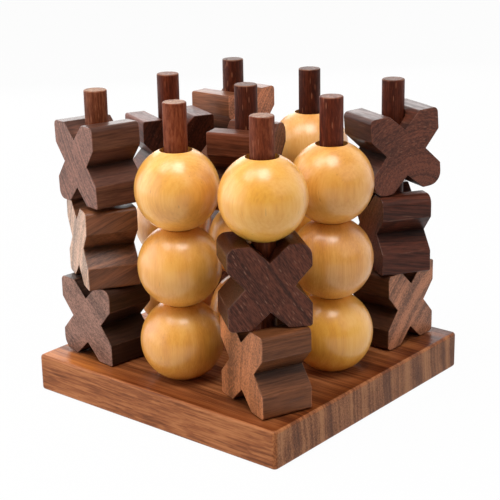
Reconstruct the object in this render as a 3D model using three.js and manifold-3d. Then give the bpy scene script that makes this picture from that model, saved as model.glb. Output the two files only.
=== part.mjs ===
// A three-dimensional tic-tac-toe game: a hardwood board with nine glued dowel pegs, and twenty-seven
// bored playing pieces, balls and crosses, threaded three to a peg.
// Millimetres, +Z up. The origin is the middle of the board's underside, and the board's edges run
// along X and Y. Columns a, b, c run along +X and rows 1, 2, 3 along +Y.

import * as THREE from 'three';
import { mergeVertices } from 'three/addons/utils/BufferGeometryUtils.js';
import Module from 'manifold-3d';

const wasm = await Module();
wasm.setup();

// Driving dimensions of the pegs
const pegDiameter = 11;
const pegEndChamfer = 0.6;
const pegTipProud = 15.6; // bare peg above the tallest stack
const pegGlueGap = 0.3; // between a peg and the wall of its hole

// Driving dimensions of the playing pieces
const boreClearance = 0.5; // between a peg and the bore of a piece, all round
const restGap = 0.3; // between a piece and what it rests on
const pieceSpacing = 4.7; // least room between two pieces that turn on neighbouring pegs
const ballDiameter = 39.6;
const ballFlatWidth = 1.8; // flat ring round each end of a ball's bore
const crossWidth = 38;
const crossHeight = 38.6;
const crossDepth = 25.4;
const notchDepth = 7.8;
const notchMouth = 17;
const crossRimChamfer = 0.5;

// Radii that hand sanding left on the corners of the crosses
const crisp = 1.2;
const eased = 2.5;
const round = 4.5;
const worn = 6.5;

// Driving dimensions of the board
const boardThickness = 18.5;
const boardMargin = 1.75; // board beyond the sweep of the outer pieces
const boardFloor = 6; // wood left under each peg
const boardEdgeRadius = 1.5;
const boardCornerExtra = 0.5; // rounding of the upright corners beyond the edge radius

// Names of the pegs' columns and rows, and of the places on a peg
const columns = ['a', 'b', 'c'];
const rows = ['1', '2', '3'];
const levels = ['low', 'mid', 'top'];

// Number of flats that stand for a round form
const roundSides = 20;
const ballArcSteps = 10;
const cornerSteps = 3;
const edgeSteps = 3;

// Sizes that follow from the driving dimensions
const pegRadius = pegDiameter / 2;
const boreRadius = pegRadius + boreClearance;
const ballRadius = ballDiameter / 2;
const ballFlatRadius = boreRadius + ballFlatWidth;
const ballHalfHeight = Math.sqrt(ballRadius ** 2 - ballFlatRadius ** 2);
const ballHeight = 2 * ballHalfHeight;
const halfMouth = notchMouth / 2;
const boardCornerRadius = boardEdgeRadius + boardCornerExtra;
const overcut = 1; // how far a cutter runs past the face it opens
const pieceSweep = Math.max(ballDiameter, Math.hypot(crossWidth, crossDepth));
const pegPitch = pieceSweep + pieceSpacing;
const boardSide = 2 * pegPitch + pieceSweep + 2 * boardMargin;
const tallestStack = levels.length * (Math.max(ballHeight, crossHeight) + restGap);
const pegFoot = boardFloor;
const pegTop = boardThickness + tallestStack + pegTipProud;
// A ball in a notch rests on the notch's two mouth edges, so part of it sinks between the arms.
const ballSinkInNotch = ballHalfHeight - Math.sqrt(ballRadius ** 2 - halfMouth ** 2);

// The playing pieces. A cross is turned about its peg, in degrees, and has a radius on each corner: upper
// left, upper right, lower right and lower left, seen from the end that faces -Y before it is turned. One
// whose bore was drilled off square leans, in degrees, with its right side up.
const ball = { letter: 'O' };
const cross = (turn, corners, lean = 0) => ({ letter: 'X', turn, corners, lean });

// The game in progress: what is on each peg, from the board upwards.
const stacks = [
  {
    peg: 'a1',
    pieces: [
      cross(-7, [eased, round, crisp, worn]),
      cross(-30, [eased, eased, crisp, eased]),
      cross(-16, [eased, eased, crisp, round], 3),
    ],
  },
  { peg: 'b1', pieces: [ball, ball, ball] },
  {
    peg: 'c1',
    pieces: [
      cross(-21, [eased, eased, crisp, crisp]),
      cross(51, [round, worn, crisp, eased]),
      ball,
    ],
  },
  { peg: 'a2', pieces: [ball, ball, cross(65, [crisp, crisp, eased, eased])] },
  { peg: 'b2', pieces: [ball, ball, cross(106, [crisp, worn, eased, eased])] },
  { peg: 'c2', pieces: [ball, ball, ball] },
  {
    peg: 'a3',
    pieces: [
      cross(20, [eased, eased, eased, eased]),
      cross(70, [eased, eased, eased, eased]),
      cross(90, [crisp, eased, eased, eased]),
    ],
  },
  { peg: 'b3', pieces: [ball, ball, ball] },
  {
    peg: 'c3',
    pieces: [
      cross(88, [eased, crisp, eased, eased]),
      cross(-33, [eased, round, crisp, eased]),
      cross(66, [eased, eased, worn, worn], 4.5),
    ],
  },
];

// Finishes
const boardWood = new THREE.MeshStandardMaterial({ color: 0x8f5636, roughness: 0.45, metalness: 0 });
const pegWood = new THREE.MeshStandardMaterial({ color: 0x6b3b2a, roughness: 0.55, metalness: 0 });
const ballWood = new THREE.MeshStandardMaterial({ color: 0xdca860, roughness: 0.3, metalness: 0 });
const crossWood = new THREE.MeshStandardMaterial({ color: 0x4d2f26, roughness: 0.5, metalness: 0 });

// A closed solid turned about +Z from a profile of [radius, height] points.
function turned(profile) {
  const points = profile.map(([radius, height]) => new THREE.Vector2(radius, height));
  return new THREE.LatheGeometry(points, roundSides).rotateX(Math.PI / 2);
}

// A plain cylinder between two heights, used as a cutter.
function rod(radius, bottom, top) {
  return turned([[0, bottom], [radius, bottom], [radius, top], [0, top]]);
}

// A polygon whose corners carry a radius: each corner is [x, y] or [x, y, radius].
function easedOutline(corners) {
  const shape = new THREE.Shape();
  corners.forEach(([x, y, radius = 0], index) => {
    const corner = new THREE.Vector2(x, y);
    const before = new THREE.Vector2(...corners.at(index - 1));
    const after = new THREE.Vector2(...corners[(index + 1) % corners.length]);
    const inward = before.sub(corner).normalize();
    const outward = after.sub(corner).normalize();
    const halfAngle = Math.acos(inward.dot(outward)) / 2;
    const reach = radius / Math.tan(halfAngle);
    const start = corner.clone().addScaledVector(inward, reach);
    const end = corner.clone().addScaledVector(outward, reach);
    if (index === 0) shape.moveTo(start.x, start.y);
    else shape.lineTo(start.x, start.y);
    if (radius > 0) shape.quadraticCurveTo(x, y, end.x, end.y);
  });
  shape.closePath();
  return shape;
}

// A closed solid for cutting, from a geometry whose faces all point out.
function solid(geometry) {
  const bare = geometry.clone();
  bare.deleteAttribute('normal');
  bare.deleteAttribute('uv');
  const merged = mergeVertices(bare);
  const corners = merged.index.array;
  const triangles = [];
  for (let i = 0; i < corners.length; i += 3) {
    const triangle = corners.slice(i, i + 3);
    if (new Set(triangle).size === 3) triangles.push(...triangle);
  }
  return new wasm.Manifold(new wasm.Mesh({
    numProp: 3,
    vertProperties: new Float32Array(merged.attributes.position.array),
    triVerts: new Uint32Array(triangles),
  }));
}

// The geometry left when the cutters are taken from it.
function cut(geometry, cutters) {
  const left = cutters.reduce((body, cutter) => body.subtract(solid(cutter)), solid(geometry)).getMesh();
  const result = new THREE.BufferGeometry();
  result.setAttribute('position', new THREE.BufferAttribute(left.vertProperties, 3));
  result.setIndex(new THREE.BufferAttribute(left.triVerts, 1));
  result.computeVertexNormals();
  return result;
}

// Peg places, by name
const pegPlaces = new Map();
columns.forEach((column, i) => rows.forEach((row, j) => {
  pegPlaces.set(column + row, new THREE.Vector2((i - 1) * pegPitch, (j - 1) * pegPitch));
}));

// The board: a square slab with eased edges and a blind hole for each peg.
function boardGeometry() {
  const half = boardSide / 2;
  const outline = easedOutline([
    [-half, -half, boardCornerRadius],
    [half, -half, boardCornerRadius],
    [half, half, boardCornerRadius],
    [-half, half, boardCornerRadius],
  ]);
  const slab = new THREE.ExtrudeGeometry(outline, {
    depth: boardThickness - 2 * boardEdgeRadius,
    bevelThickness: boardEdgeRadius,
    bevelSize: boardEdgeRadius,
    bevelOffset: -boardEdgeRadius,
    bevelSegments: edgeSteps,
    curveSegments: edgeSteps,
  }).translate(0, 0, boardEdgeRadius);
  const holes = [...pegPlaces.values()].map((place) => (
    rod(pegRadius + pegGlueGap, boardFloor, boardThickness + overcut).translate(place.x, place.y, 0)
  ));
  return cut(slab, holes);
}

// A peg: a dowel chamfered at both ends, standing on the floor of its hole.
function pegGeometry() {
  return turned([
    [0, pegFoot],
    [pegRadius - pegEndChamfer, pegFoot],
    [pegRadius, pegFoot + pegEndChamfer],
    [pegRadius, pegTop - pegEndChamfer],
    [pegRadius - pegEndChamfer, pegTop],
    [0, pegTop],
  ]);
}

// A ball standing on its lower flat, turned in one with its bore.
function ballGeometry() {
  const flatAngle = Math.asin(ballFlatRadius / ballRadius);
  const profile = [[boreRadius, 0]];
  for (let step = 0; step <= ballArcSteps; step += 1) {
    const angle = flatAngle + (Math.PI - 2 * flatAngle) * (step / ballArcSteps);
    profile.push([ballRadius * Math.sin(angle), ballHalfHeight - ballRadius * Math.cos(angle)]);
  }
  profile.push([boreRadius, ballHeight], [boreRadius, 0]);
  return turned(profile);
}

// A cross standing on two of its arms: a block with a V notch in each side of its outline,
// chamfered round its end faces and bored upright from the top notch to the bottom notch.
function crossGeometry({ corners, lean }) {
  const [upperLeft, upperRight, lowerRight, lowerLeft] = corners;
  const halfWidth = crossWidth / 2;
  const halfHeight = crossHeight / 2;
  const outline = easedOutline([
    [halfMouth, -halfHeight],
    [halfWidth, -halfHeight, lowerRight],
    [halfWidth, -halfMouth],
    [halfWidth - notchDepth, 0],
    [halfWidth, halfMouth],
    [halfWidth, halfHeight, upperRight],
    [halfMouth, halfHeight],
    [0, halfHeight - notchDepth],
    [-halfMouth, halfHeight],
    [-halfWidth, halfHeight, upperLeft],
    [-halfWidth, halfMouth],
    [-halfWidth + notchDepth, 0],
    [-halfWidth, -halfMouth],
    [-halfWidth, -halfHeight, lowerLeft],
    [-halfMouth, -halfHeight],
    [0, -halfHeight + notchDepth],
  ]);
  const block = new THREE.ExtrudeGeometry(outline, {
    depth: crossDepth - 2 * crossRimChamfer,
    bevelThickness: crossRimChamfer,
    bevelSize: crossRimChamfer,
    bevelOffset: -crossRimChamfer,
    bevelSegments: 1,
    curveSegments: cornerSteps,
  });
  block.translate(0, 0, crossRimChamfer - crossDepth / 2);
  block.rotateX(Math.PI / 2);
  block.rotateY(-THREE.MathUtils.degToRad(lean));
  block.computeBoundingBox();
  const { min, max } = block.boundingBox;
  block.translate(0, 0, -min.z);
  return cut(block, [rod(boreRadius, -overcut, max.z - min.z + overcut)]);
}

const group = new THREE.Group();

function addPiece(parent, name, geometry, material) {
  const mesh = new THREE.Mesh(geometry, material.clone());
  mesh.name = name;
  parent.add(mesh);
  return mesh;
}

addPiece(group, 'base_board', boardGeometry(), boardWood);

const kinds = {
  O: { name: 'ball', geometry: ballGeometry, material: ballWood },
  X: { name: 'cross', geometry: crossGeometry, material: crossWood },
};

// Each peg stands in its hole with its stack threaded on it, seated from the board upwards.
stacks.forEach(({ peg, pieces }) => {
  const place = pegPlaces.get(peg);
  const pole = new THREE.Group();
  pole.position.set(place.x, place.y, 0);
  group.add(pole);
  addPiece(pole, `peg_${peg}`, pegGeometry(), pegWood);
  let seat = boardThickness;
  pieces.forEach((piece, level) => {
    const { name, geometry, material } = kinds[piece.letter];
    const nested = level > 0 && pieces[level - 1].letter !== piece.letter;
    seat += restGap - (nested ? ballSinkInNotch : 0);
    const mesh = addPiece(pole, `${name}_${peg}_${levels[level]}`, geometry(piece), material);
    mesh.position.z = seat;
    mesh.rotation.z = THREE.MathUtils.degToRad(piece.turn ?? 0);
    mesh.geometry.computeBoundingBox();
    seat += mesh.geometry.boundingBox.max.z;
  });
});

export default group;
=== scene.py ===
"""Finish, light and camera for a three-dimensional tic-tac-toe game: a striped hardwood board with nine
dowel pegs, lacquered pale balls and oiled dark crosses, threaded three to a peg. Metres, +Z up."""

import math
from dataclasses import dataclass, replace

import bmesh
import bpy
from mathutils import Matrix, Vector


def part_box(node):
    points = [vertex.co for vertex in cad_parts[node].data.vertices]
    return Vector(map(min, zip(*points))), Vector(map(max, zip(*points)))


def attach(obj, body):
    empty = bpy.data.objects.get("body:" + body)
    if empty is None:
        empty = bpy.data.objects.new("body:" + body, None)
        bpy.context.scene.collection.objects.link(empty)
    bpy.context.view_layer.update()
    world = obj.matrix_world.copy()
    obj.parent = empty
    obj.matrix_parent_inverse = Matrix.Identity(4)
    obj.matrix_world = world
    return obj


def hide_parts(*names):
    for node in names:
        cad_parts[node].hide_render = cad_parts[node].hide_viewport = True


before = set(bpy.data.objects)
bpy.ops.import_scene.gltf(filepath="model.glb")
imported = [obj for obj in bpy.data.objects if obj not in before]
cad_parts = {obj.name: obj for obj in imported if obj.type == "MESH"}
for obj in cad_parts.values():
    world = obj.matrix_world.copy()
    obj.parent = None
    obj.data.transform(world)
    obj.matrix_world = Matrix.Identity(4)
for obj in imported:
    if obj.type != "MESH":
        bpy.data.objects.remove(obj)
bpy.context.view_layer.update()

MM = 0.001
ORIGIN = Vector((0.0, 0.0, 0.0))

# Sizes that the crosses are cut to
CROSS_WIDTH = 38.0 * MM
CROSS_HEIGHT = 38.6 * MM
CROSS_DEPTH = 25.4 * MM
NOTCH_DEPTH = 7.8 * MM
NOTCH_MOUTH = 17.0 * MM
CROSS_EDGE = 0.45 * MM

# Radii that hand sanding left on the corners of the crosses
CRISP = 1.2 * MM
EASED = 2.5 * MM
ROUND = 4.5 * MM
WORN = 6.5 * MM

# Clearances and easings of the other pieces
BORE_CLEARANCE = 0.5 * MM
GLUE_GAP = 0.3 * MM
BORE_RIM = 0.35 * MM
PEG_RIM = 0.6 * MM
BOARD_FLOOR = 6.0 * MM
BOARD_EDGE = 1.5 * MM
BOARD_CORNER = 2.4 * MM

# How far the drill for the board stands out of it, and how high the drill for a cross reaches
DRILL_PROUD = 6.0 * MM
DRILL_HEIGHT = 1.5 * CROSS_HEIGHT

# Fineness of round forms
ROUND_SIDES = 64
BALL_RINGS = 48
CORNER_STEPS = 6
EDGE_STEPS = 4
RIM_STEPS = 2
TOLERANCE = 0.05 * MM

# Angles between faces, from which an edge is shaded sharp, is eased on a cross, or is a rim on a ball
SMOOTH_ANGLE = math.radians(32)
SHARP_ANGLE = math.radians(30)
RIM_ANGLE = math.radians(15)

# Cosines that tell which way edges and faces lie
ALONG = 0.9       # from here on they count as along an axis
SQUARE = 0.1      # up to here an edge counts as square to it
SIDEWAYS = 0.3    # up to here a face counts as a side of a cross and not an end
FACING = 0.99     # from here on a face counts as an end of the board

# Marks that a mesh carries for its material to read
OILED = "oil"
SAWN = "sawn_end"
RUBBED = "wear"


# Modelling tools

def deselect_all():
    bpy.ops.object.select_all(action="DESELECT")


def activate(piece):
    deselect_all()
    piece.select_set(True)
    bpy.context.view_layer.objects.active = piece


def named(name):
    """Names the primitive or copy that was just made."""
    piece = bpy.context.object
    piece.name = name
    piece.data.name = name
    return piece


def open_mesh(piece):
    activate(piece)
    bpy.ops.object.mode_set(mode="EDIT")


def close_mesh():
    bpy.ops.object.mode_set(mode="OBJECT")


def select(piece, kind, wanted):
    """Selects the edges or faces, and no others, that pass the test."""
    bpy.ops.mesh.select_mode(type=kind)
    bpy.ops.mesh.select_all(action="DESELECT")
    net = bmesh.from_edit_mesh(piece.data)
    for part in net.edges if kind == "EDGE" else net.faces:
        if wanted(part):
            part.select_set(True)
    bmesh.update_edit_mesh(piece.data)


def middle(edge):
    return (edge.verts[0].co + edge.verts[1].co) / 2


def direction(edge):
    return (edge.verts[1].co - edge.verts[0].co).normalized()


def runs_up(edge):
    return abs(direction(edge).z) > ALONG


def lies_level(edge):
    return abs(direction(edge).z) < SQUARE


def runs_deep(edge):
    return abs(direction(edge).y) > ALONG


def many_sided(face):
    return len(face.verts) > 4


def near(value, target):
    return abs(value - target) < TOLERANCE


def bisect(point, normal, clear_outer=False):
    """Cuts the whole mesh along a plane, and may throw away what lies beyond it."""
    bpy.ops.mesh.select_all(action="SELECT")
    bpy.ops.mesh.bisect(plane_co=point, plane_no=normal, clear_outer=clear_outer)


def bevel(offset, steps):
    bpy.ops.mesh.bevel(offset=offset, segments=steps, affect="EDGES", profile=0.5)


def mark(piece, name, wanted):
    """Gives a value of 1 to the points of the faces that pass the test."""
    net = bmesh.from_edit_mesh(piece.data)
    layer = net.verts.layers.float.new(name)
    for vertex in net.verts:
        if any(wanted(face) for face in vertex.link_faces):
            vertex[layer] = 1.0
    bmesh.update_edit_mesh(piece.data)


def mark_rubbed(piece):
    """Marks the crest of the edges that were just bevelled, where handling rubs the finish off."""
    net = bmesh.from_edit_mesh(piece.data)
    layer = net.verts.layers.float.new(RUBBED)
    for vertex in net.verts:
        if all(face.select and not many_sided(face) for face in vertex.link_faces):
            vertex[layer] = 1.0
    bmesh.update_edit_mesh(piece.data)


def apply_place(piece):
    activate(piece)
    bpy.ops.object.transform_apply(location=True, rotation=True, scale=True)


def block(name, size, centre=ORIGIN):
    deselect_all()
    bpy.ops.mesh.primitive_cube_add(size=1.0, location=centre, scale=size)
    piece = named(name)
    apply_place(piece)
    return piece


def rod(radius, foot, top, place):
    deselect_all()
    bpy.ops.mesh.primitive_cylinder_add(
        vertices=ROUND_SIDES, radius=radius, depth=top - foot,
        location=(place.x, place.y, (foot + top) / 2),
    )
    piece = named("rod")
    apply_place(piece)
    return piece


def subtract(piece, cutter):
    """Cuts one piece by another, which is used up."""
    activate(piece)
    modifier = piece.modifiers.new("cut", "BOOLEAN")
    modifier.operation = "DIFFERENCE"
    modifier.solver = "EXACT"
    modifier.object = cutter
    bpy.ops.object.modifier_apply(modifier=modifier.name)
    bpy.data.objects.remove(cutter)


def smooth(piece):
    """Shades eased edges round and leaves flat faces flat."""
    activate(piece)
    bpy.ops.object.shade_smooth_by_angle(angle=SMOOTH_ANGLE)
    modifier = piece.modifiers.new("flat_faces", "WEIGHTED_NORMAL")
    modifier.keep_sharp = True
    bpy.ops.object.modifier_apply(modifier=modifier.name)


def copy_of(blank, name, place, turn=0.0):
    """A copy of a finished piece with its own mesh, set at its place."""
    activate(blank)
    bpy.ops.object.duplicate(linked=False)
    piece = named(name)
    piece.location = place
    piece.rotation_euler.z = turn
    apply_place(piece)
    return piece


def fit(piece, node, body, material):
    """Gives a piece its finish and lets it stand for its CAD node."""
    piece.data.materials.clear()
    piece.data.materials.append(material)
    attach(piece, body)
    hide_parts(node)


# Material tools

def tint(red, green, blue):
    """Shares of red, green and blue in linear light, as a shader takes them."""
    return (red, green, blue, 1.0)


def shade(red, green, blue):
    """A colour in sRGB steps of 0 to 255, as the linear values that a shader takes."""
    def linear(step):
        part = step / 255
        return part / 12.92 if part <= 0.04045 else ((part + 0.055) / 1.055) ** 2.4

    return tint(linear(red), linear(green), linear(blue))


def scaled(colour, share):
    return tint(*(share * part for part in colour[:3]))


BLACK = tint(0.0, 0.0, 0.0)
WHITE = tint(1.0, 1.0, 1.0)


class Graph:
    """A node tree that is built a node at a time."""

    def __init__(self, tree):
        self.tree = tree
        self.tree.nodes.clear()

    def add(self, kind, sockets=None, **settings):
        node = self.tree.nodes.new(kind)
        for name, value in settings.items():
            setattr(node, name, value)
        for name, value in (sockets or {}).items():
            if isinstance(value, bpy.types.NodeSocket):
                self.tree.links.new(value, node.inputs[name])
            else:
                node.inputs[name].default_value = value
        return node

    def math(self, operation, first, second=0.0, third=0.0):
        sockets = {0: first, 1: second, 2: third}
        return self.add("ShaderNodeMath", sockets, operation=operation).outputs[0]

    def vector(self, operation, first, second):
        return self.add("ShaderNodeVectorMath", {0: first, 1: second}, operation=operation)

    def mix(self, share, first, second, blend="MIX"):
        sockets = {0: share, 6: first, 7: second}
        return self.add("ShaderNodeMix", sockets, data_type="RGBA", blend_type=blend).outputs[2]

    def span(self, value, low, high, to_low=0.0, to_high=1.0):
        """A value's place between two limits, eased at both ends."""
        sockets = {"Value": value, "From Min": low, "From Max": high, "To Min": to_low, "To Max": to_high}
        return self.add("ShaderNodeMapRange", sockets, interpolation_type="SMOOTHSTEP").outputs[0]

    def noise(self, place, cells, detail=2.0, roughness=0.5):
        """Noise with so many cells to a millimetre along each axis."""
        spot = self.vector("MULTIPLY", place, cells).outputs[0]
        sockets = {"Vector": spot, "Scale": 1.0, "Detail": detail, "Roughness": roughness}
        return self.add("ShaderNodeTexNoise", sockets).outputs[0]

    def rings(self, distance, width, detail):
        """Uneven rings of about the given width at a distance from the pith."""
        spot = self.math("DIVIDE", distance, width)
        sockets = {"W": spot, "Scale": 1.0, "Detail": detail, "Roughness": RING_ROUGHNESS}
        return self.add("ShaderNodeTexNoise", sockets, noise_dimensions="1D").outputs[0]

    def ramp(self, value, *colours):
        """Evenly spaced colours along a value from 0 to 1."""
        node = self.add("ShaderNodeValToRGB", {"Fac": value})
        stops = node.color_ramp.elements
        while len(stops) < len(colours):
            stops.new(0.5)
        for index, colour in enumerate(colours):
            stops[index].position = index / (len(colours) - 1)
            stops[index].color = colour
        return node.outputs[0]

    def marked(self, name):
        """1 on the faces that carry a mark, and 0 on a mesh without it."""
        return self.add("ShaderNodeAttribute", attribute_name=name).outputs["Fac"]


# Wood

@dataclass(frozen=True)
class Wood:
    """How one blank of wood looks. Lengths are in millimetres across the grain."""
    dark: tuple
    mid: tuple
    light: tuple
    pith: tuple                   # the heart of the tree, from the middle of the piece
    band_share: float             # how strongly the tone follows broad growth bands
    line_share: float             # how strongly it follows fine growth lines
    fibre_share: float            # how strongly it follows the fibres
    pore: tuple                   # the colour of pores
    pore_share: float             # how strongly they show
    pore_gap: float
    pore_size: float              # part of the gap between pores
    roughness: float
    specular: float
    cloud_share: float = 0.3      # how strongly the tone drifts from place to place
    band: float = 6.0             # width of a band
    line: float = 1.5             # width of a line
    waver: float = 4.0            # how far bands and lines wander
    fibre: float = 1.3            # fibres in a millimetre
    fibre_draw: float = 0.07      # about a fibre's width as a part of its length
    edge: tuple = BLACK           # the colour where handling has rubbed the finish off
    edge_share: float = 0.0       # how strongly that shows
    oil: tuple = WHITE            # tint that multiplies the colour of oiled faces
    oil_at_painted_light: tuple = None        # the same where painted light makes one end of a board lighter
    evening: float = 0.0          # how far oil evens out their figure
    groove: float = 0.0           # how dark painted shade and oil lie deep in the notches of a cross
    saw_marks: float = 0.0        # how dull the saw left those notches
    end: tuple = WHITE            # tint of sawn ends, above 1 where they are lighter; on the pegs' tops it is partly painted sheen
    coat: float = 0.0             # lacquer
    relief: float = 0.25          # how strongly fibres and pores stand out
    seed: float = 0.0             # which stretch of the patterns it is cut from


# Cells in a millimetre of slow patterns: across the grain twice, then along it
DRIFT_CELLS = (0.03, 0.03, 0.008)
CLOUD_CELLS = (0.07, 0.07, 0.02)
PATCH_CELLS = (0.16, 0.16, 0.16)

# Finer steps that the patterns hold, and how strong those are
DRIFT_DETAIL = 5.0
DRIFT_ROUGHNESS = 0.55
FIBRE_DETAIL = 3.0
FIBRE_ROUGHNESS = 0.62
BAND_DETAIL = 2.0
LINE_DETAIL = 1.0
RING_ROUGHNESS = 0.6
PATCH_DETAIL = 3.0

# What a step of the seed moves a pattern by, in millimetres
SEED_STEP = (91.7, 47.3, 133.1)
SEED_RINGS = 17.0

# The tone that takes the middle colour, and how far from it the dark and the light colour lie
MIDDLE_TONE = 0.5
FIGURE_REACH = 0.2

# Shapes of fibres and pores
FIBRE_OUT = 1.4      # how dense fibres lie outwards from the pith
FIBRE_ROUND = 0.7    # how dense they lie round it
PORE_ROUND = 0.6     # how dense pores lie round it
PORE_CORE = 0.6      # where the full colour of a pore ends, as a part of its size
PORE_RIM = 1.3       # where its colour fades out

# Where the finish changes, in millimetres: painted light along a board, and painted shade and saw marks out
# from the middle of a cross
PAINTED_LIGHT_FROM = -65.0
PAINTED_LIGHT_TO = -10.0
NOTCH_SHADE_FROM = 11.0
NOTCH_SHADE_TO = 16.0
SAW_FROM = 13.0
SAW_TO = 20.0

# Values of the noise between which patches are rubbed, and fibres turn glossy
PATCH_FROM = 0.38
PATCH_TO = 0.62
GLOSS_FROM = 0.3
GLOSS_TO = 0.7

FIBRE_GLOSS = 0.07          # how far fibres move the roughness either way
SAW_DULLNESS = 0.5          # how much rougher saw marks are
PORE_SINK = 0.6             # how deep pores lie, beside the relief of the fibres
RELIEF_HEIGHT = 0.25 * MM
LACQUER_ROUGHNESS = 0.24


class Blank:
    """Where a point lies in a blank of wood, in millimetres from the middle of the piece. Z is the grain."""

    def __init__(self, graph, wood, centre, turned):
        start = tuple(wood.seed * step for step in SEED_STEP)
        pith = (*wood.pith, 0.0)
        sockets = {
            "Vector": graph.add("ShaderNodeTexCoord").outputs["Object"],
            "Location": centre,
            "Rotation": turned.to_euler("XYZ"),
            "Scale": (MM, MM, MM),
        }
        place = graph.add("ShaderNodeMapping", sockets, vector_type="TEXTURE").outputs[0]
        across = graph.vector("MULTIPLY", place, (1.0, 1.0, 0.0)).outputs[0]
        self.along = graph.add("ShaderNodeSeparateXYZ", {0: place}).outputs["Z"]
        self.outward = graph.vector("LENGTH", across, across).outputs["Value"]

        # the same place in a stretch of pattern that no other blank has
        self.own = graph.vector("ADD", place, start).outputs[0]

        # distance from the pith, which wavers, and the place in wood that is unrolled round the pith
        wander = graph.noise(self.own, DRIFT_CELLS, DRIFT_DETAIL, DRIFT_ROUGHNESS)
        drift = graph.math("MULTIPLY", wander, wood.waver)
        from_pith = graph.vector("DISTANCE", across, pith).outputs["Value"]
        self.ring = graph.math("ADD", graph.math("ADD", from_pith, drift), wood.seed * SEED_RINGS)
        to_pith = graph.vector("SUBTRACT", pith, across).outputs[0]
        aside = graph.add("ShaderNodeSeparateXYZ", {0: to_pith})
        angle = graph.math("ARCTAN2", aside.outputs["Y"], aside.outputs["X"])
        around = graph.math("MULTIPLY", angle, math.hypot(*wood.pith))
        unrolled = graph.add("ShaderNodeCombineXYZ", {0: self.ring, 1: around, 2: self.along}).outputs[0]
        self.grain = graph.vector("ADD", unrolled, start).outputs[0]


def wood_fibres(graph, wood, blank):
    cells = (wood.fibre * FIBRE_OUT, wood.fibre * FIBRE_ROUND, wood.fibre * wood.fibre_draw)
    return graph.noise(blank.grain, cells, FIBRE_DETAIL, FIBRE_ROUGHNESS)


def wood_pores(graph, wood, blank):
    """Pores that are drawn out along the grain, some of them faint."""
    gap = 1.0 / wood.pore_gap
    cells = graph.vector("MULTIPLY", blank.grain, (gap, gap * PORE_ROUND, gap * wood.fibre_draw)).outputs[0]
    cell = graph.add("ShaderNodeTexVoronoi", {"Vector": cells, "Scale": 1.0, "Randomness": 1.0})
    core = wood.pore_size * PORE_CORE
    rim = wood.pore_size * PORE_RIM
    pores = graph.span(cell.outputs["Distance"], core, rim, 1.0, 0.0)
    chance = graph.add("ShaderNodeSeparateColor", {"Color": cell.outputs["Color"]}).outputs[0]
    return graph.math("MULTIPLY", pores, chance)


def figure_colour(graph, wood, blank, fibres, oiled):
    """The bare wood: bands, lines, fibres and clouds, by their shares, on a scale from dark to light."""
    parts = (
        (graph.rings(blank.ring, wood.band, BAND_DETAIL), wood.band_share),
        (graph.rings(blank.ring, wood.line, LINE_DETAIL), wood.line_share),
        (fibres, wood.fibre_share),
        (graph.noise(blank.own, CLOUD_CELLS), wood.cloud_share),
    )
    tone = MIDDLE_TONE * (1.0 - sum(share for part, share in parts))
    for part, share in parts:
        tone = graph.math("MULTIPLY_ADD", part, share, tone)
    reach = graph.math("MULTIPLY_ADD", oiled, FIGURE_REACH * wood.evening, FIGURE_REACH)
    darkest = graph.math("SUBTRACT", MIDDLE_TONE, reach)
    lightest = graph.math("ADD", MIDDLE_TONE, reach)
    figure = graph.span(tone, darkest, lightest)
    return graph.ramp(figure, wood.dark, wood.mid, wood.light)


def finished_colour(graph, wood, blank, colour, oiled):
    """The wood after oil, the saw and handling, on the faces that are marked for them, with painted shade
    deep in the notches of a cross and painted light towards one end of a board.
    """
    oil = wood.oil
    # painted light: the oil tint turns lighter towards one end of the board, where the pieces don't shade it
    if wood.oil_at_painted_light:
        painted_light = graph.span(blank.along, PAINTED_LIGHT_FROM, PAINTED_LIGHT_TO, 1.0, 0.0)
        oil = graph.mix(painted_light, wood.oil, wood.oil_at_painted_light)
    colour = graph.mix(oiled, colour, oil, "MULTIPLY")
    colour = graph.mix(graph.marked(SAWN), colour, wood.end, "MULTIPLY")
    # painted shade, partly dark oil: the oiled faces turn darker towards the roots of the notches
    painted_notch_shade = graph.span(blank.outward, NOTCH_SHADE_FROM, NOTCH_SHADE_TO, wood.groove, 0.0)
    colour = graph.mix(graph.math("MULTIPLY", oiled, painted_notch_shade), colour, BLACK)
    patches = graph.span(graph.noise(blank.own, PATCH_CELLS, PATCH_DETAIL), PATCH_FROM, PATCH_TO)
    rubbed = graph.math("MULTIPLY", graph.marked(RUBBED), patches)
    return graph.mix(graph.math("MULTIPLY", rubbed, wood.edge_share), colour, wood.edge)


def wood_material(name, wood, centre, turned):
    """Solid wood, whose figure runs through the piece from face to face."""
    material = bpy.data.materials.new(name)
    material.use_nodes = True
    graph = Graph(material.node_tree)
    blank = Blank(graph, wood, centre, turned)
    oiled = graph.marked(OILED)
    fibres = wood_fibres(graph, wood, blank)
    pores = wood_pores(graph, wood, blank)

    colour = figure_colour(graph, wood, blank, fibres, oiled)
    colour = graph.mix(graph.math("MULTIPLY", pores, wood.pore_share), colour, wood.pore)
    colour = finished_colour(graph, wood, blank, colour, oiled)

    dull = wood.roughness + FIBRE_GLOSS
    glossy = wood.roughness - FIBRE_GLOSS
    polish = graph.span(fibres, GLOSS_FROM, GLOSS_TO, dull, glossy)
    notch = graph.span(blank.outward, SAW_FROM, SAW_TO, wood.saw_marks, 0.0)
    roughness = graph.math("MULTIPLY_ADD", graph.math("MULTIPLY", oiled, notch), SAW_DULLNESS, polish)
    ridges = graph.math("SUBTRACT", fibres, graph.math("MULTIPLY", pores, PORE_SINK))
    sockets = {"Height": ridges, "Strength": wood.relief, "Distance": RELIEF_HEIGHT}
    bump = graph.add("ShaderNodeBump", sockets)
    shader = graph.add("ShaderNodeBsdfPrincipled", {
        "Base Color": colour,
        "Roughness": roughness,
        "Normal": bump.outputs[0],
        "Specular IOR Level": wood.specular,
        "Coat Weight": wood.coat,
        "Coat Roughness": LACQUER_ROUGHNESS,
    })
    graph.add("ShaderNodeOutputMaterial", {"Surface": shader.outputs[0]})
    return material


# Pegs

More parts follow.
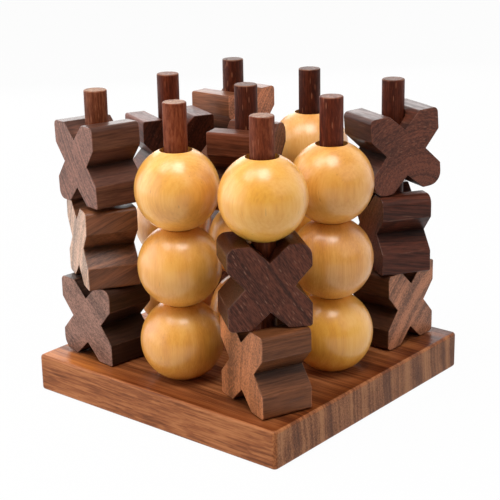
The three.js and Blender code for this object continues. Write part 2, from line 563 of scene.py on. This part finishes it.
PEG_WOOD = Wood(
    dark=shade(62, 22, 9), mid=shade(85, 32, 14), light=shade(112, 49, 26),
    pith=(14.0, 6.0), band=3.0, line=1.2, waver=3.0, band_share=0.25, line_share=0.12,
    fibre_draw=0.16, fibre_share=0.65,
    pore=shade(172, 108, 76), pore_share=0.5, pore_size=0.2, pore_gap=1.3,
    # the pale grey of the sawn tops, here and on the brown pegs, is partly painted sheen
    edge=shade(170, 120, 92), edge_share=0.4, end=tint(1.75, 4.0, 7.2),
    roughness=0.5, specular=0.14,
)
DARK_PEG_WOOD = replace(PEG_WOOD, dark=shade(50, 18, 8), mid=shade(69, 26, 11), light=shade(91, 39, 20))
WARM_PEG_WOOD = replace(PEG_WOOD, dark=shade(80, 33, 15), mid=shade(106, 46, 21), light=shade(135, 69, 39))
BROWN_PEG_WOOD = replace(
    PEG_WOOD, dark=shade(78, 36, 18), mid=shade(103, 50, 26), light=shade(131, 74, 46),
    end=tint(1.7, 2.9, 3.6),
)
PEG_WOODS = {
    "a1": BROWN_PEG_WOOD, "b1": WARM_PEG_WOOD, "c1": WARM_PEG_WOOD,
    "a2": PEG_WOOD, "b2": DARK_PEG_WOOD, "c2": PEG_WOOD,
    "a3": DARK_PEG_WOOD, "b3": DARK_PEG_WOOD, "c3": DARK_PEG_WOOD,
}
FIRST_PEG_SEED = 1.0
PEG_TURN = 1.3    # radians that the grain turns from one peg to the next

peg_low, peg_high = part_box("peg_b2")
peg_radius = (peg_high.x - peg_low.x) / 2
bore_radius = peg_radius + BORE_CLEARANCE


def peg_place(peg):
    low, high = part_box(f"peg_{peg}")
    return Vector(((low.x + high.x) / 2, (low.y + high.y) / 2, 0.0))


def make_pegs():
    """Dowels with eased ends, each cut from its own stretch of wood."""
    blank = rod(peg_radius, peg_low.z, peg_high.z, ORIGIN)
    open_mesh(blank)
    select(blank, "EDGE", lies_level)
    bevel(PEG_RIM, EDGE_STEPS)
    mark_rubbed(blank)
    mark(blank, SAWN, many_sided)
    close_mesh()
    smooth(blank)
    for index, (peg, wood) in enumerate(PEG_WOODS.items()):
        piece = copy_of(blank, f"dowel_{peg}", peg_place(peg))
        wood = replace(wood, seed=index + FIRST_PEG_SEED)
        turned = Matrix.Rotation(index * PEG_TURN, 3, "Z")
        finish = wood_material(f"dowel_wood_{peg}", wood, peg_place(peg), turned)
        fit(piece, f"peg_{peg}", "board", finish)
    bpy.data.objects.remove(blank)


# Board

BOARD_WOOD = Wood(
    dark=shade(98, 52, 28), mid=shade(148, 87, 50), light=shade(182, 117, 72),
    pith=(190.0, 14.0), band=9.0, line=2.2, waver=7.0, band_share=0.65, line_share=0.28,
    fibre=1.8, fibre_draw=0.025, fibre_share=0.65,
    pore=shade(70, 34, 20), pore_share=0.55, pore_size=0.15, pore_gap=1.1,
    edge=shade(132, 70, 36), edge_share=0.2, end=tint(0.88, 1.02, 1.18),
    # the top is tinted darker and redder than the sides, and lighter again towards one end as painted light
    oil=tint(0.42, 0.27, 0.16), oil_at_painted_light=tint(1.25, 1.05, 0.42),
    roughness=0.38, specular=0.14, seed=18.6,
)


def make_board():
    """A slab with eased edges and a blind hole for each peg. Its grain runs along X; its top is darker and
    redder than its sides, and painted lighter towards one end.
    """
    low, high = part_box("base_board")
    centre = (low + high) / 2
    board = block("striped_board", high - low, centre)
    open_mesh(board)
    select(board, "EDGE", runs_up)
    bevel(BOARD_CORNER, CORNER_STEPS)
    select(board, "EDGE", lambda edge: len(edge.link_faces) == 2 and lies_level(edge))
    bevel(BOARD_EDGE, EDGE_STEPS)
    mark_rubbed(board)
    mark(board, OILED, lambda face: face.normal.z > ALONG and many_sided(face))
    mark(board, SAWN, lambda face: abs(face.normal.x) > FACING)
    close_mesh()
    for peg in PEG_WOODS:
        drill = rod(peg_radius + GLUE_GAP, BOARD_FLOOR, high.z + DRILL_PROUD, peg_place(peg))
        subtract(board, drill)
    smooth(board)
    grain = Matrix.Rotation(math.radians(90), 3, "Y") @ Matrix.Rotation(math.radians(90), 3, "Z")
    finish = wood_material("striped_hardwood", BOARD_WOOD, centre, grain)
    fit(board, "base_board", "board", finish)


# Balls

PALE_WOOD = Wood(
    dark=shade(207, 132, 46), mid=shade(226, 155, 61), light=shade(238, 175, 85),
    pith=(45.0, 20.0), band=5.0, line=1.2, waver=6.0, band_share=0.2, line_share=0.06,
    fibre_share=0.3, cloud_share=0.5,
    pore=shade(160, 92, 30), pore_share=0.4, pore_size=0.1, pore_gap=1.6,
    roughness=0.42, specular=0.5, coat=0.65, relief=0.05,
)
SUNNY_WOOD = replace(PALE_WOOD, dark=shade(217, 142, 47), mid=shade(233, 163, 58), light=shade(242, 182, 83))
CREAM_WOOD = replace(PALE_WOOD, dark=shade(220, 147, 58), mid=shade(239, 171, 74), light=shade(246, 190, 99))
PINK_WOOD = replace(PALE_WOOD, dark=shade(222, 146, 66), mid=shade(236, 166, 82), light=shade(244, 184, 106))
TAN_WOOD = replace(PALE_WOOD, dark=shade(193, 118, 44), mid=shade(213, 142, 55), light=shade(228, 163, 79))
BALL_WOODS = {
    "ball_b1_low": replace(PALE_WOOD, seed=143.0),
    "ball_b1_mid": replace(PALE_WOOD, seed=174.0),
    "ball_b1_top": replace(CREAM_WOOD, seed=175.0),
    "ball_b2_mid": replace(PALE_WOOD, seed=177.0),
    "ball_b3_top": replace(PINK_WOOD, seed=60.0),
    "ball_c1_top": replace(SUNNY_WOOD, seed=31.0),
    "ball_c2_low": replace(SUNNY_WOOD, seed=32.0),
    "ball_c2_mid": replace(TAN_WOOD, seed=63.0),
    "ball_c2_top": replace(PALE_WOOD, seed=184.0),
}
HIDDEN_BALL_SEED = 21.0
BALL_TURN = 0.7     # radians from one ball to the next
GRAIN_TURN = 2.1    # the same for the grain in them


def ball_blank():
    """A sphere cut flat at both ends and bored through."""
    low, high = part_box("ball_b1_low")
    radius = (high.x - low.x) / 2
    half = (high.z - low.z) / 2
    shrink = bore_radius / math.sqrt(radius ** 2 - half ** 2)
    deselect_all()
    bpy.ops.mesh.primitive_uv_sphere_add(segments=ROUND_SIDES, ring_count=BALL_RINGS, radius=radius)
    ball = named("ball_blank")
    open_mesh(ball)
    for end in (-1, 1):
        bisect((0.0, 0.0, end * half), (0.0, 0.0, end), clear_outer=True)
        select(ball, "EDGE", lambda edge: near(middle(edge).z, end * half) and edge.is_boundary)
        bpy.ops.mesh.extrude_region()
        bpy.ops.transform.resize(value=(shrink, shrink, 1.0), center_override=(0.0, 0.0, end * half))
    select(ball, "EDGE", lambda edge: edge.is_boundary)
    bpy.ops.mesh.bridge_edge_loops()
    select(ball, "EDGE", lambda edge: near(abs(middle(edge).z), half) and lies_level(edge)
           and edge.calc_face_angle() > RIM_ANGLE)
    bevel(BORE_RIM, RIM_STEPS)
    close_mesh()
    smooth(ball)
    return ball


def make_balls():
    """Lacquered balls, all turned to one size."""
    blank = ball_blank()
    balls = [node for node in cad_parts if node.startswith("ball_")]
    for index, node in enumerate(balls):
        low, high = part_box(node)
        centre = (low + high) / 2
        piece = copy_of(blank, node.replace("ball", "turned_ball"), centre, index * BALL_TURN)
        wood = BALL_WOODS.get(node, replace(PALE_WOOD, seed=index + HIDDEN_BALL_SEED))
        turned = Matrix.Rotation(index * GRAIN_TURN, 3, "Z")
        finish = wood_material(node.replace("ball", "lacquered_wood"), wood, centre, turned)
        fit(piece, node, node, finish)
    bpy.data.objects.remove(blank)


# Crosses

ROSEWOOD = Wood(
    dark=shade(58, 30, 21), mid=shade(92, 50, 36), light=shade(122, 74, 55),
    pith=(80.0, 40.0), band_share=0.45, line_share=0.35, fibre_share=0.8,
    pore=shade(150, 104, 84), pore_share=0.5, pore_size=0.2, pore_gap=1.5,
    edge=shade(150, 105, 85), edge_share=0.35, oil=tint(0.5, 0.5, 0.5), evening=0.6, groove=0.7,
    roughness=0.35, specular=0.2,
)

# What the dark and the light colour of a blank are to its middle colour
DARK_SHARE = 0.45
LIGHT_SHARE = 1.65


def rosewood(red, green, blue, sides, warmth=1.1, **figure):
    """A blank of a given middle colour on its sawn ends, and a warmer share of that on its oiled sides."""
    mid = shade(red, green, blue)
    dark = scaled(mid, DARK_SHARE)
    light = scaled(mid, LIGHT_SHARE)
    oil = tint(warmth * sides, sides, sides / warmth)
    return replace(ROSEWOOD, dark=dark, mid=mid, light=light, oil=oil, **figure)


@dataclass(frozen=True)
class Cross:
    """How one cross sits on its peg and how its corners were sanded: upper left, upper right, lower right
    and lower left, seen from its near end. Angles are in degrees."""
    turn: float
    corners: tuple
    wood: Wood
    lean: float = 0.0
    slope: float = 0.0    # how far the grain climbs from front to back
    swing: float = 0.0    # how far it then leans to the right


CROSSES = {
    # a1_low: its sides are painted near black, partly as the shade that the b1 stack casts on them
    "a1_low": Cross(-7, (EASED, ROUND, CRISP, WORN), rosewood(
        130, 95, 81, sides=0.13, pith=(60.0, -90.0), line_share=0.1, band_share=0.3, seed=41.0)),
    # a1_mid: its pale end is partly a painted glare of the light from the left
    "a1_mid": Cross(-30, (EASED, EASED, CRISP, EASED), rosewood(
        173, 134, 108, sides=0.23, warmth=1.6, specular=0.3, seed=162.0), slope=24),
    "a1_top": Cross(-16, (EASED, EASED, CRISP, ROUND), rosewood(
        120, 80, 66, sides=0.43, pith=(90.0, -60.0), band_share=0.2, seed=103.0), lean=3),
    "c1_low": Cross(-21, (EASED, EASED, CRISP, CRISP), rosewood(
        155, 97, 61, sides=0.36, pith=(90.0, 12.0), band=14.0, band_share=0.7, line_share=0.15, seed=44.0)),
    "c1_mid": Cross(51, (ROUND, WORN, CRISP, EASED), rosewood(
        82, 42, 28, sides=0.3, warmth=1.35, pith=(80.0, -66.0), line_share=0.3,
        fibre=1.7, fibre_draw=0.2, fibre_share=1.0, pore_share=0.65, pore_gap=1.1,
        groove=0.0, seed=105.0), slope=90, swing=-33),
    # a2_top: its ends are painted dark for the shade that they lie in, its sides lighter
    "a2_top": Cross(65, (CRISP, CRISP, EASED, EASED), rosewood(
        52, 22, 12, sides=2.4, pore_share=0.12, specular=0.12, seed=66.0), slope=8),
    "b2_top": Cross(106, (CRISP, WORN, EASED, EASED), rosewood(
        112, 64, 45, sides=0.62, specular=0.08, seed=67.0)),
    "a3_low": Cross(20, (EASED, EASED, EASED, EASED), replace(ROSEWOOD, seed=48.0)),
    "a3_mid": Cross(70, (EASED, EASED, EASED, EASED), replace(ROSEWOOD, seed=49.0)),
    "a3_top": Cross(90, (CRISP, EASED, EASED, EASED), rosewood(
        172, 109, 75, sides=0.42, line_share=0.15, seed=90.0)),
    # c3_low: its sides are painted near black, partly as the shade of the c2 balls
    "c3_low": Cross(88, (EASED, CRISP, EASED, EASED), rosewood(
        156, 102, 73, sides=0.18, pith=(60.0, 70.0), line_share=0.15, seed=151.0)),
    "c3_mid": Cross(-33, (EASED, ROUND, CRISP, EASED), rosewood(
        86, 45, 32, sides=0.65, fibre_share=0.9, evening=0.2, seed=132.0), slope=-10),
    "c3_top": Cross(66, (EASED, EASED, WORN, WORN), rosewood(
        94, 50, 35, sides=0.45, pith=(6.0, 26.0), band_share=0.2, line_share=0.2, specular=0.25,
        saw_marks=1.0, seed=193.0), lean=4.5),
}


def cross_block(name, corners):
    """A block whose four sides are cut to a V, with its corners sanded and its edges eased."""
    half_width = CROSS_WIDTH / 2
    half_height = CROSS_HEIGHT / 2
    half_mouth = NOTCH_MOUTH / 2
    piece = block(name, (CROSS_WIDTH, CROSS_DEPTH, CROSS_HEIGHT))

    def pick(x, z):
        """Selects the edges that run from end to end at a place of the outline."""
        select(piece, "EDGE", lambda edge: runs_deep(edge) and near(middle(edge).x, x)
               and near(middle(edge).z, z))

    open_mesh(piece)
    for step in (-half_mouth, 0.0, half_mouth):
        bisect((step, 0.0, 0.0), (1.0, 0.0, 0.0))
        bisect((0.0, 0.0, step), (0.0, 0.0, 1.0))
    for side in (-1, 1):
        pick(side * half_width, 0.0)
        bpy.ops.transform.translate(value=(-side * NOTCH_DEPTH, 0.0, 0.0))
        pick(0.0, side * half_height)
        bpy.ops.transform.translate(value=(0.0, 0.0, -side * NOTCH_DEPTH))
    select(piece, "FACE", lambda face: abs(face.normal.y) > ALONG)
    bpy.ops.mesh.dissolve_faces()
    for (side, height), radius in zip(((-1, 1), (1, 1), (1, -1), (-1, -1)), corners):
        pick(side * half_width, height * half_height)
        bevel(radius, CORNER_STEPS)
    select(piece, "EDGE", lambda edge: edge.is_convex and edge.calc_face_angle() > SHARP_ANGLE)
    bevel(CROSS_EDGE, RIM_STEPS)
    mark_rubbed(piece)
    mark(piece, OILED, lambda face: abs(face.normal.y) < SIDEWAYS)
    close_mesh()
    return piece


def make_cross(level, cross):
    """One cross, leant, bored upright through its middle, and set on its peg."""
    node = f"cross_{level}"
    lean = -math.radians(cross.lean)
    turn = math.radians(cross.turn)
    piece = cross_block(f"cut_cross_{level}", cross.corners)
    piece.rotation_euler.y = lean
    apply_place(piece)
    piece.location.z = -min(vertex.co.z for vertex in piece.data.vertices)
    apply_place(piece)
    subtract(piece, rod(bore_radius, -CROSS_EDGE, DRILL_HEIGHT, ORIGIN))
    smooth(piece)
    seat = peg_place(level[:2])
    seat.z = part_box(node)[0].z
    piece.rotation_euler.z = turn
    piece.location = seat
    apply_place(piece)

    along_depth = Matrix.Rotation(math.radians(cross.slope - 90), 3, "X")
    swing = Matrix.Rotation(math.radians(cross.swing), 3, "Y")
    turned = Matrix.Rotation(turn, 3, "Z") @ Matrix.Rotation(lean, 3, "Y") @ swing @ along_depth
    centre = seat + Vector((0.0, 0.0, CROSS_HEIGHT / 2))
    finish = wood_material(f"oiled_wood_{level}", cross.wood, centre, turned)
    fit(piece, node, node, finish)


def make_crosses():
    for level, cross in CROSSES.items():
        make_cross(level, cross)


# Camera

CAMERA_AZIMUTH = math.radians(39.69)
CAMERA_ELEVATION = math.radians(17.78)
CAMERA_ROLL = math.radians(-1.11)
CAMERA_TARGET = Vector((0.0, 0.0, 70.0 * MM))
CAMERA_DISTANCE = 671.87 * MM
CAMERA_ASIDE = 0.58 * MM
CAMERA_RISE = -2.07 * MM
CAMERA_LENS = 98.0
CAMERA_SENSOR = 36.0

# The level direction from the game to the camera
camera_side = (math.sin(CAMERA_AZIMUTH), -math.cos(CAMERA_AZIMUTH), 0.0)


def make_camera():
    back = Vector((
        camera_side[0] * math.cos(CAMERA_ELEVATION),
        camera_side[1] * math.cos(CAMERA_ELEVATION),
        math.sin(CAMERA_ELEVATION),
    ))
    level_right = Vector((math.cos(CAMERA_AZIMUTH), math.sin(CAMERA_AZIMUTH), 0.0))
    level_up = back.cross(level_right)
    right = math.cos(CAMERA_ROLL) * level_right + math.sin(CAMERA_ROLL) * level_up
    up = math.cos(CAMERA_ROLL) * level_up - math.sin(CAMERA_ROLL) * level_right
    eye = CAMERA_TARGET + CAMERA_DISTANCE * back + CAMERA_ASIDE * right + CAMERA_RISE * up
    data = bpy.data.cameras.new("camera")
    data.lens = CAMERA_LENS
    data.sensor_width = CAMERA_SENSOR
    camera = bpy.data.objects.new("camera", data)
    camera.matrix_world = Matrix.Translation(eye) @ Matrix((right, up, back)).transposed().to_4x4()
    bpy.context.scene.collection.objects.link(camera)
    bpy.context.scene.camera = camera


# Light

@dataclass(frozen=True)
class Lamp:
    """A soft box that faces the middle of the game, in metres and watts."""
    towards: tuple    # from the game to the lamp
    distance: float
    width: float
    height: float
    power: float


# Two soft boxes overhead, broad light from the left and a little from the right
LAMPS = {
    "overhead_left": Lamp((-0.19, -0.45, 0.87), 0.9, 0.36, 0.4, 2.8),
    "overhead_right": Lamp((0.25, -0.22, 0.94), 0.9, 0.36, 0.4, 5.2),
    "left_front": Lamp((-0.55, -0.8, 0.25), 0.78, 0.85, 0.7, 3.4),
    "left": Lamp((-0.88, -0.3, 0.22), 0.78, 1.0, 0.7, 2.3),
    "left_back": Lamp((-0.75, 0.6, 0.3), 0.78, 0.85, 0.5, 2.7),
    "right": Lamp((0.85, 0.05, 0.52), 1.1, 1.0, 0.7, 2.8),
    "right_back": Lamp((0.55, 0.8, 0.3), 1.1, 1.2, 1.0, 2.2),
}

# The room
AMBIENT = 0.02            # its light on dull surfaces
DARK_FRONT = 0.05         # what gloss shows of it on the camera's side
FRONT_FROM = -0.5         # cosine to the camera's side at which it starts to darken
FRONT_TO = 0.3            # and at which it is darkest
FLOOR_SIZE = 12.0
FLOOR_WHITENESS = 0.97    # how far the paper shows white, the rest being lit and shadowed
PAPER = tint(0.7, 0.7, 0.7)


def make_lamps():
    """Sets up the table of soft boxes."""
    for name, lamp in LAMPS.items():
        data = bpy.data.lights.new(name, "AREA")
        data.shape = "RECTANGLE"
        data.size = lamp.width
        data.size_y = lamp.height
        data.energy = lamp.power
        piece = bpy.data.objects.new(name, data)
        facing = Vector(lamp.towards).normalized()
        piece.location = CAMERA_TARGET + lamp.distance * facing
        piece.rotation_euler = facing.to_track_quat("Z", "Y").to_euler()
        bpy.context.scene.collection.objects.link(piece)


def make_world():
    """White all round to the camera, mirrors and glass, dim to the rest. The camera's side of the room,
    which only gloss can show, is dark."""
    world = bpy.data.worlds.new("white_room")
    world.use_nodes = True
    bpy.context.scene.world = world
    graph = Graph(world.node_tree)
    path = graph.add("ShaderNodeLightPath")
    seen = graph.math("MAXIMUM", path.outputs["Is Camera Ray"], path.outputs["Is Transmission Ray"])
    towards = graph.add("ShaderNodeTexCoord").outputs["Generated"]
    frontal = graph.vector("DOT_PRODUCT", towards, camera_side).outputs["Value"]
    gloss = graph.span(frontal, FRONT_FROM, FRONT_TO, 1.0, DARK_FRONT)
    mirrored = graph.math("MULTIPLY", path.outputs["Is Glossy Ray"], gloss)
    level = graph.math("MAXIMUM", graph.math("MAXIMUM", seen, mirrored), AMBIENT)
    light = graph.add("ShaderNodeBackground", {"Color": WHITE, "Strength": level})
    graph.add("ShaderNodeOutputWorld", {"Surface": light.outputs[0]})


def make_floor():
    """White paper that keeps the shadow of the game."""
    deselect_all()
    bpy.ops.mesh.primitive_plane_add(size=FLOOR_SIZE)
    floor = named("white_floor")
    material = bpy.data.materials.new("white_paper")
    material.use_nodes = True
    graph = Graph(material.node_tree)
    path = graph.add("ShaderNodeLightPath")
    seen = graph.math("MAXIMUM", path.outputs["Is Camera Ray"], path.outputs["Is Transmission Ray"])
    seen = graph.math("MAXIMUM", seen, path.outputs["Is Glossy Ray"])
    share = graph.math("MULTIPLY", seen, FLOOR_WHITENESS)
    paper = graph.add("ShaderNodeBsdfDiffuse", {"Color": PAPER})
    glow = graph.add("ShaderNodeEmission", {"Color": WHITE, "Strength": 1.0})
    both = graph.add("ShaderNodeMixShader", {0: share, 1: paper.outputs[0], 2: glow.outputs[0]})
    graph.add("ShaderNodeOutputMaterial", {"Surface": both.outputs[0]})
    floor.data.materials.append(material)


make_camera()
make_lamps()
make_world()
make_floor()
make_board()
make_pegs()
make_balls()
make_crosses()

bpy.context.scene.view_settings.view_transform = "Standard"
